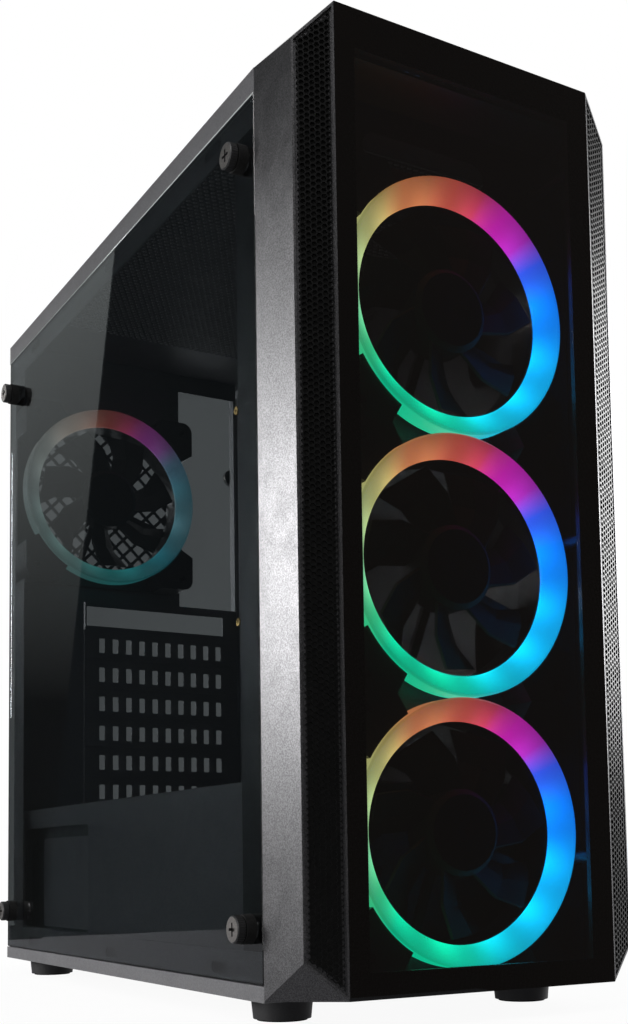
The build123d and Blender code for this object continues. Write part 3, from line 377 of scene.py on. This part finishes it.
def thumbscrew_finish():
    """Black, but bright where the surface looks out along the screw: -X on the window, +Y on the panel."""
    material, tree, shader = finish_base("thumbscrew")
    normal = axes(tree, add_node(tree, "ShaderNodeNewGeometry").outputs["True Normal"])
    along = sums(tree, "MAXIMUM", sums(tree, "MULTIPLY", normal["X"], -1.0), normal["Y"])
    face = sums(tree, "GREATER_THAN", along, ALONG_SCREW)
    turned = between(tree, grain(tree, 0.0004), (0.13, 0.125, 0.12), (0.24, 0.225, 0.215))
    mix = add_node(tree, "ShaderNodeMix", data_type="RGBA")
    feed(tree, mix.inputs["Factor"], face)
    black, bright = [socket for socket in mix.inputs if socket.type == "RGBA"]
    black.default_value = (0.012, 0.012, 0.013, 1)
    feed(tree, bright, turned)
    mixed = [socket for socket in mix.outputs if socket.type == "RGBA"][0]
    feed(tree, shader.inputs["Base Color"], mixed)
    feed(tree, shader.inputs["Metallic"], face)
    shader.inputs["Roughness"].default_value = 0.38
    return material


def light_lens():
    """Small clear lens with a faint blue lamp behind it."""
    material, tree, shader = finish_base("light lens")
    tint = between(tree, grain(tree, 0.001), (0.30, 0.34, 0.40), (0.42, 0.46, 0.52))
    feed(tree, shader.inputs["Base Color"], tint)
    shader.inputs["Emission Color"].default_value = (0.15, 0.3, 0.6, 1)
    shader.inputs["Emission Strength"].default_value = 0.25
    shader.inputs["Roughness"].default_value = 0.25
    return material


finishes["thumbscrew"] = thumbscrew_finish()
finishes["light_lens"] = light_lens()
print("finishes:", len(finishes))

# %% [markdown]
# ## Dressing the solids
#
# The record names a slot for each solid, such as rubber or brass. Solids could be dressed one by one, but one
# finish for each slot keeps pieces of a kind alike. Only the rings have their own, and the front wall, whose
# chassis paint is darkened there as painted shade.

# %% Dress the solids
# the front wall takes the chassis paint darkened as painted shade
own_finishes = ring_finishes | {"front_wall": finishes["shaded_chassis_paint"]}
for part in frame["record"]["subparts"]:
    node = frame["nodes"][part["node"]]
    finish = own_finishes.get(part["node"]) or finishes[part["material_slot"]]
    node.data.materials.clear()
    node.data.materials.append(finish)

# %% [markdown]
# ## From a mesh to a piece
#
# Each new piece is drawn in a bmesh, moved to its place there, and then rides on the body that carries it.
# The object itself stays at the origin, so patterns on object coordinates keep their scale and place.


# %% Define the piece helper
def piece(name, mesh, finish, body, stands_for=()):
    """Makes an object of a bmesh, on its body, with its finish."""
    data = bpy.data.meshes.new(name)
    mesh.to_mesh(data)
    mesh.free()
    data.materials.append(finish)
    item = bpy.data.objects.new(name, data)
    bpy.context.scene.collection.objects.link(item)
    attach(item, body)
    if stands_for:
        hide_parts(*stands_for)
    print(f"{name}: {len(data.polygons)} faces on {body}")


def everything(mesh):
    return mesh.verts[:] + mesh.edges[:] + mesh.faces[:]


def verts_of(made):
    """The vertices in what an operator made."""
    return [item for item in made["geom"] if isinstance(item, bmesh.types.BMVert)]


print("piece helpers ready")

# %% [markdown]
# ## Punched steel
#
# The front's two wings and the tower's top are sheets with a honeycomb of small holes. Cutting a thousand
# holes with booleans is slow and leaves a poor mesh. Here one hexagon is inset and emptied, then copied by
# doubling, so that a dozen steps make a whole sheet. The copies are merged, cut to the outline, framed and
# given their thickness.


# %% Define punched sheets
def spread(mesh, step, doublings):
    """Copies the mesh along a step, twice as much each time."""
    for turn in range(doublings):
        copies = verts_of(bmesh.ops.duplicate(mesh, geom=everything(mesh)))
        bmesh.ops.translate(mesh, vec=Vector(step) * 2**turn, verts=copies)


def honeycomb(pitch, web, row_doublings, column_doublings):
    """Flat sheet of hexagonal holes from the origin, with rows along X."""
    mesh = bmesh.new()
    bmesh.ops.create_circle(mesh, cap_ends=True, segments=6, radius=pitch / math.sqrt(3))
    border = bmesh.ops.inset_individual(mesh, faces=mesh.faces[:], thickness=web / 2, use_even_offset=True)
    hole = [face for face in mesh.faces if face not in border["faces"]]
    bmesh.ops.delete(mesh, geom=hole, context="FACES_ONLY")
    spread(mesh, (pitch, 0, 0), row_doublings)
    spread(mesh, (pitch / 2, pitch * math.sqrt(3) / 2, 0), 1)
    spread(mesh, (0, pitch * math.sqrt(3), 0), column_doublings)
    bmesh.ops.remove_doubles(mesh, verts=mesh.verts, dist=web / 10)
    return mesh


def punched_sheet(outline, rim, thickness, pitch, web, row_doublings, column_doublings):
    """Honeycomb cut to a counterclockwise outline, with a plain rim, its face at z = 0."""
    mesh = honeycomb(pitch, web, row_doublings, column_doublings)
    low = [min(corner[axis] for corner in outline) - pitch for axis in (0, 1)]
    bmesh.ops.translate(mesh, vec=(*low, 0), verts=mesh.verts)
    corners = [Vector((*corner, 0)) for corner in outline]
    for start, end in zip(corners, corners[1:] + corners[:1]):
        run = (end - start).normalized()
        outward = Vector((run.y, -run.x, 0))
        bmesh.ops.bisect_plane(
            mesh, geom=everything(mesh), plane_co=start - outward * rim, plane_no=outward, clear_outer=True
        )
    border = mesh.faces.new([mesh.verts.new(corner) for corner in corners])
    bmesh.ops.inset_region(mesh, faces=[border], thickness=rim, use_even_offset=True)
    bmesh.ops.delete(mesh, geom=[border], context="FACES_ONLY")
    mesh.normal_update()
    bmesh.ops.reverse_faces(mesh, faces=[face for face in mesh.faces if face.normal.z < 0])
    bmesh.ops.solidify(mesh, geom=mesh.faces[:], thickness=thickness)
    top = max(vert.co.z for vert in mesh.verts)
    bmesh.ops.translate(mesh, vec=(0, 0, -top), verts=mesh.verts)
    return mesh


print("punched sheets ready")

# %% [markdown]
# ## Mesh wings
#
# The front's sides turn back by 24 degrees, and each is a narrow trapezium of punched steel with a fine dark
# gauze behind it, which hides the fans' light. A wing is drawn flat, with its long way along X, and one
# matrix stands it up in its place. The matrix turns only: a mirror would turn the faces inside out.

# %% Make the two wings
FRONT_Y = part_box("front_panel")[0][1]
PANEL_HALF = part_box("front_panel")[1][0]
WING_TURN = math.radians(23.55)
WING_WIDE = 18.76 * MM
WING_GAP = 1.2 * MM
PANEL_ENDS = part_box("front_panel")[0][2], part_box("front_panel")[1][2]
WING_SLOPES = 15.7 / 18.76, -17.9 / 18.76
END_GAP = 1.4 * WING_GAP
WING_SUNK = 0.1 * MM
WING_SHEET = {"rim": 0.8 * MM, "thickness": 1.1 * MM, "pitch": 2.65 * MM, "web": 0.62 * MM}
GAUZE_THICK = 0.1 * MM
GAUZE_DEPTH = 1.25 * MM
print("front at", round(FRONT_Y, 5), "panel", round(PANEL_HALF, 5), PANEL_ENDS)

for name, side in (("mesh_left", -1), ("mesh_right", 1)):
    flat = []
    for across, end in ((WING_GAP, 0), (WING_GAP, 1), (WING_WIDE - WING_GAP, 1), (WING_WIDE - WING_GAP, 0)):
        height = PANEL_ENDS[end] + WING_SLOPES[end] * across + (1 - 2 * end) * END_GAP
        flat.append((-side * height, across))
    flat = flat if side < 0 else flat[::-1]
    wing = punched_sheet(flat, **WING_SHEET, row_doublings=8, column_doublings=3)
    outwards = Vector((side * math.cos(WING_TURN), math.sin(WING_TURN), 0))
    lengthways = Vector((0, 0, -side))
    normal = lengthways.cross(outwards)
    stand = Matrix((lengthways, outwards, normal)).transposed().to_4x4()
    stand.translation = Vector((side * PANEL_HALF, FRONT_Y, 0)) - normal * WING_SUNK
    bmesh.ops.transform(wing, matrix=stand, verts=wing.verts)
    piece(f"punched_{name}", wing, finishes["mesh_steel"], "bezel", (name,))
    gauze = bmesh.new()
    gauze.faces.new([gauze.verts.new((*corner, 0)) for corner in flat])
    gauze.normal_update()
    bmesh.ops.solidify(gauze, geom=gauze.faces[:], thickness=GAUZE_THICK)
    bmesh.ops.translate(gauze, vec=(0, 0, -GAUZE_DEPTH), verts=gauze.verts)
    bmesh.ops.transform(gauze, matrix=stand, verts=gauze.verts)
    piece(f"gauze_{name}", gauze, finishes["fan_blade"], "bezel")

# %% [markdown]
# ## Perforated top
#
# The top sheet is open over two fan places, and a perforated plate closes it from below. It is the same
# honeycomb with wider holes, and its chassis paint is darkened as painted shade.

# %% Make the perforated top
TOP_SHEET = {"rim": 4.0 * MM, "pitch": 4.0 * MM, "web": 1.3 * MM}
low, high = (Vector(corner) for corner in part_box("top_vents"))
outline = [(low.x, low.y), (high.x, low.y), (high.x, high.y), (low.x, high.y)]
top_plate = punched_sheet(outline, thickness=high.z - low.z, **TOP_SHEET, row_doublings=6, column_doublings=6)
bmesh.ops.translate(top_plate, vec=(0, 0, high.z), verts=top_plate.verts)
# the plate's colour is the chassis paint darkened as painted shade
piece("perforated_top", top_plate, finishes["shaded_chassis_paint"], "chassis", ("top_vents",))

# %% [markdown]
# ## Edge bead with a painted highlight
#
# A hardened pane has its edges ground before it goes into the oven. A thin round bead along the pane's top,
# pale and part metal, draws the bright line there: its pale colour is a painted highlight.

# %% Make the edge bead with its painted highlight
EDGE_RADIUS = 0.45 * MM
EDGE_SINK = 0.5 * EDGE_RADIUS
pane_low, pane_high = (Vector(corner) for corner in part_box("glass_panel"))
edge = bmesh.new()
bmesh.ops.create_cone(
    edge, cap_ends=True, segments=16, radius1=EDGE_RADIUS, radius2=EDGE_RADIUS, depth=pane_high.y - pane_low.y
)
lying = Matrix.Rotation(math.radians(90), 4, "X")
lying.translation = (pane_low.x + EDGE_SINK, (pane_low.y + pane_high.y) / 2, pane_high.z - EDGE_SINK)
bmesh.ops.transform(edge, matrix=lying, verts=edge.verts)
for face in edge.faces:
    face.smooth = len(face.verts) == 4
# pale part-metal colour: a painted highlight along the top of the pane
edge_highlight_finish = coat_of("edge with painted highlight", (0.38, 0.40, 0.40), (0.48, 0.50, 0.50), (0.38, 0.48), 0.0006, 0.6)
piece("highlight_edge", edge, edge_highlight_finish, "window")

# %% [markdown]
# ## Knurled sleeves
#
# Fingers grip a thumbscrew by its knurled rim. A circle with every other point drawn in gives the teeth, one
# extrusion gives the wall, two more draw its ends inwards, and a bridge closes the bore. The sleeve sits
# round the solid head, which keeps its bright face and cross recess. The sleeve's near-black is black
# plastic darkened further as painted shade.

# %% Make the knurled sleeves
SLEEVE_RADIUS = 6.15 * MM
SLEEVE_LENGTH = 3.3 * MM
SLEEVE_SET_BACK = 0.45 * MM
SLEEVE_TEETH = 32
VALLEY_SHARE, BORE_SHARE = 0.955, 0.86


def knurled_sleeve(radius, length, teeth):
    """Toothed ring along +Z, from z = 0."""
    mesh = bmesh.new()
    bmesh.ops.create_circle(mesh, cap_ends=False, segments=2 * teeth, radius=radius)
    valleys = [vert for index, vert in enumerate(mesh.verts) if index % 2]
    bmesh.ops.scale(mesh, vec=(VALLEY_SHARE, VALLEY_SHARE, 1), verts=valleys)
    far_rim = verts_of(bmesh.ops.extrude_edge_only(mesh, edges=mesh.edges[:]))
    bmesh.ops.translate(mesh, vec=(0, 0, length), verts=far_rim)
    for height in (0, length):
        loop = [edge for edge in mesh.edges if all(abs(vert.co.z - height) < 1e-6 for vert in edge.verts)]
        inner_rim = verts_of(bmesh.ops.extrude_edge_only(mesh, edges=loop))
        bmesh.ops.scale(mesh, vec=(BORE_SHARE, BORE_SHARE, 1), verts=inner_rim)
    bmesh.ops.bridge_loops(mesh, edges=[edge for edge in mesh.edges if edge.is_boundary])
    bmesh.ops.recalc_face_normals(mesh, faces=mesh.faces[:])
    return mesh


# the sleeves' near-black is black plastic darkened further as painted shade
sleeve_black_and_shade = coat_of("knurled black and painted shade", (0.003, 0.003, 0.003), (0.008, 0.008, 0.008), (0.40, 0.50), 0.0005)
screws = [(f"window_screw_{i}", Vector((-1, 0, 0))) for i in (1, 2, 3, 4)]
screws += [(f"panel_screw_{i}", Vector((0, 1, 0))) for i in (1, 2)]
for name, outwards in screws:
    low, high = (Vector(corner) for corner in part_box(name))
    middle = (low + high) / 2
    face = middle + outwards * (high - low).dot(Vector(map(abs, outwards))) / 2
    sleeve = knurled_sleeve(SLEEVE_RADIUS, SLEEVE_LENGTH, SLEEVE_TEETH)
    turn = outwards.to_track_quat("Z", "Y").to_matrix().to_4x4()
    place = Matrix.Translation(face - outwards * (SLEEVE_LENGTH + SLEEVE_SET_BACK)) @ turn
    bmesh.ops.transform(sleeve, matrix=place, verts=sleeve.verts)
    piece(f"knurl_{name}", sleeve, sleeve_black_and_shade, name)

# %% [markdown]
# ## Rating plate
#
# A plain plate is stuck to the power supply's flank, behind the shroud's cut-out. It stays bare. A grid of
# one face, with its corners rounded by a bevel and a little thickness, is all that it takes.

# %% Make the rating plate
PLATE_WIDE, PLATE_LONG = 56 * MM, 88 * MM
PLATE_CORNER = 3 * MM
PLATE_THICK = 0.3 * MM
PLATE_FROM_FRONT = 71 * MM
PLATE_HEIGHT = 59.5 * MM
plate = bmesh.new()
bmesh.ops.create_grid(plate, x_segments=1, y_segments=1, size=0.5)
bmesh.ops.scale(plate, vec=(PLATE_WIDE, PLATE_LONG, 1), verts=plate.verts)
bmesh.ops.bevel(
    plate, geom=plate.verts[:], offset=PLATE_CORNER, affect="VERTICES", segments=4, profile=0.5, material=-1
)
bmesh.ops.solidify(plate, geom=plate.faces[:], thickness=PLATE_THICK)
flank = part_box("psu_case")
place = Matrix(((0, 0, -1), (0, 1, 0), (1, 0, 0))).to_4x4()
place.translation = (flank[0][0] - PLATE_THICK / 2, flank[0][1] + PLATE_FROM_FRONT, PLATE_HEIGHT)
bmesh.ops.transform(plate, matrix=place, verts=plate.verts)
plate_finish = coat_of("plate foil", (0.10, 0.10, 0.105), (0.15, 0.15, 0.155), (0.35, 0.45), 0.0012)
piece("rating_plate", plate, plate_finish, "chassis")

# %% [markdown]
# ## Floor, background and light
#
# The tower stands in a white studio. Near it, the floor is a pale surface that takes its shadow, and
# further out the floor glows white for the camera, so that no horizon shows. The world is white where it is
# seen, mirrored or looked at through glass, and gentler as a light.

# %% Build the stage
FADE_START = 0.05
FLOOR_FADE = 0.28, 0.75
FLOOR_WHITE = 0.94, 1.0
SKY_LIGHT, SKY_SEEN = 0.55, 0.45


def glow_material(name, colour, fade=None):
    """Even glow, or one that grows from one height to another."""
    material, tree, shader = finish_base(name)
    tree.nodes.remove(shader)
    light = add_node(tree, "ShaderNodeEmission")
    light.inputs["Color"].default_value = (*colour, 1)
    if fade:
        height = axes(tree, object_place(tree))["Z"]
        feed(tree, light.inputs["Strength"], rescale(tree, height, *fade, FADE_START, 1.0))
    feed(tree, tree.nodes["Material Output"].inputs["Surface"], light.outputs[0])
    return material


def floor_material():
    """Pale matt floor that turns to even white, for the camera, further out."""
    material, tree, shader = finish_base("studio floor")
    shader.inputs["Roughness"].default_value = 0.9
    feed(tree, shader.inputs["Base Color"], between(tree, grain(tree, 0.02), 0.80, 0.84))
    white = add_node(tree, "ShaderNodeEmission")
    reach = add_node(tree, "ShaderNodeVectorMath", operation="LENGTH")
    feed(tree, reach.inputs[0], add_node(tree, "ShaderNodeTexCoord").outputs["Object"])
    distance = reach.outputs["Value"]
    share = rescale(tree, distance, *FLOOR_FADE, *FLOOR_WHITE, interpolation_type="SMOOTHSTEP")
    mix = add_node(tree, "ShaderNodeMixShader")
    feed(tree, mix.inputs[0], sums(tree, "MULTIPLY", seen_share(tree), share))
    feed(tree, mix.inputs[1], shader.outputs[0])
    feed(tree, mix.inputs[2], white.outputs[0])
    feed(tree, tree.nodes["Material Output"].inputs["Surface"], mix.outputs[0])
    return material


def stage_sheet(name, material, width, height, matrix):
    """Flat sheet that belongs to the studio."""
    mesh = bmesh.new()
    bmesh.ops.create_grid(mesh, x_segments=1, y_segments=1, size=0.5)
    bmesh.ops.scale(mesh, vec=(width, height, 1), verts=mesh.verts)
    bmesh.ops.transform(mesh, matrix=matrix, verts=mesh.verts)
    data = bpy.data.meshes.new(name)
    mesh.to_mesh(data)
    mesh.free()
    data.materials.append(material)
    sheet = bpy.data.objects.new(name, data)
    bpy.context.scene.collection.objects.link(sheet)
    return sheet


floor = stage_sheet("floor", floor_material(), 40, 40, Matrix.Identity(4))
floor.visible_glossy = False
floor.visible_transmission = False

world = bpy.data.worlds.new("studio")
bpy.context.scene.world = world
world.use_nodes = True
sky = world.node_tree
sky.nodes["Background"].inputs["Color"].default_value = (1, 1, 1, 1)
glare = sums(sky, "MULTIPLY_ADD", seen_share(sky), SKY_SEEN, SKY_LIGHT)
feed(sky, sky.nodes["Background"].inputs["Strength"], glare)
print("stage ready")

# %% [markdown]
# ## Cards and lamps
#
# Black glossy surfaces show what stands opposite to them, so photographers set dark cards there, and pale
# cards where an edge should shine. The camera never sees a card: mirrors and glass do, and two cards show
# through glass only. One more, the cutter, shows nowhere and shades the tower's top from the trim lamp. Four
# soft lamps give the shapes their shading.


# %% Place the cards and the lamps
def facing(place, target):
    """Matrix at a place, with its Z axis towards the target."""
    turn = (Vector(target) - Vector(place)).to_track_quat("Z", "Y")
    return Matrix.Translation(place) @ turn.to_matrix().to_4x4()


def card(name, matrix, width, height, colour, fade=None, through=False):
    """Glowing sheet that mirrors and glass show, or glass alone."""
    sheet = stage_sheet(name, glow_material(name, colour, fade), width, height, matrix)
    sheet.visible_camera = False
    sheet.visible_diffuse = False
    sheet.visible_shadow = False
    sheet.visible_glossy = not through
    return sheet


def lamp(name, place, target, width, height, power):
    """Soft lamp of a size in metres and a power in watts."""
    light = bpy.data.lights.new(name, "AREA")
    light.shape = "RECTANGLE"
    light.size, light.size_y = width, height
    light.energy = power
    holder = bpy.data.objects.new(name, light)
    turn = (Vector(target) - Vector(place)).to_track_quat("-Z", "Y")
    holder.matrix_world = Matrix.Translation(place) @ turn.to_matrix().to_4x4()
    bpy.context.scene.collection.objects.link(holder)


MIDDLE = (0, 0, 0.2)
BLACK = (0.02, 0.02, 0.02)
tilt = Matrix.Rotation(math.radians(6.1), 4, "Z")
pale_place = facing((-0.440, 1.50, 0.719), (-0.440, 0, 0.719)) @ tilt
rear_place = facing((1.0, 1.4, 0.35), (0, 0, 0.35))
card("front flag", facing((0.62, -1.10, 0.30), (0.0, -0.2, 0.2)), 1.9, 2.2, (0.10, 0.088, 0.082))
card("wing flag", facing((-0.43, -1.35, 0.4), (-0.08, -0.2, 0.3)), 1.0, 2.2, (0.018, 0.018, 0.018))
card("window flag", facing((-0.9, 1.54, 2.0), (-0.9, 0, 2.0)), 2.2, 5.0, (0.018, 0.021, 0.023))
card("pale backdrop", pale_place, 0.36, 1.6, (0.318, 0.341, 0.341), (0.35, 1.15))
card("rear backdrop", rear_place, 2.2, 4.0, (0.155, 0.16, 0.16), (1.12, 0.97), through=True)
card("ceiling flag", facing((0.5, 1.0, 1.5), (0.5, 1.0, 0)), 4.0, 4.0, (0.015, 0.016, 0.016), through=True)
card("floor flag", facing((-0.8, 0.45, -0.05), (-0.8, 0.45, 1)), 2.4, 2.4, (0.20, 0.20, 0.21))
card("high flag", facing((-2.6, 1.6, 2.6), (-0.088, 0, 0.4)), 3.4, 3.4, BLACK)
cutter = card("top cutter", facing((-0.25, 0.17, 0.67), (-1.25, 0.17, 0.67)), 0.6, 0.5, BLACK)
cutter.visible_glossy = False
cutter.visible_transmission = False
cutter.visible_shadow = True
lamp("key lamp", (-1.1, -0.9, 1.5), MIDDLE, 0.9, 0.9, 8)
lamp("right lamp", (1.25, -0.20, 0.55), (0, -0.2, 0.25), 0.5, 0.6, 12)
lamp("trim lamp", (-1.23, 1.28, 0.60), (-0.088, -0.183, 0.19), 0.6, 0.5, 22)
lamp("left lamp", (-1.7, 0.1, 0.30), (-0.088, 0, 0.18), 0.8, 0.8, 10)
print("cards and lamps ready")
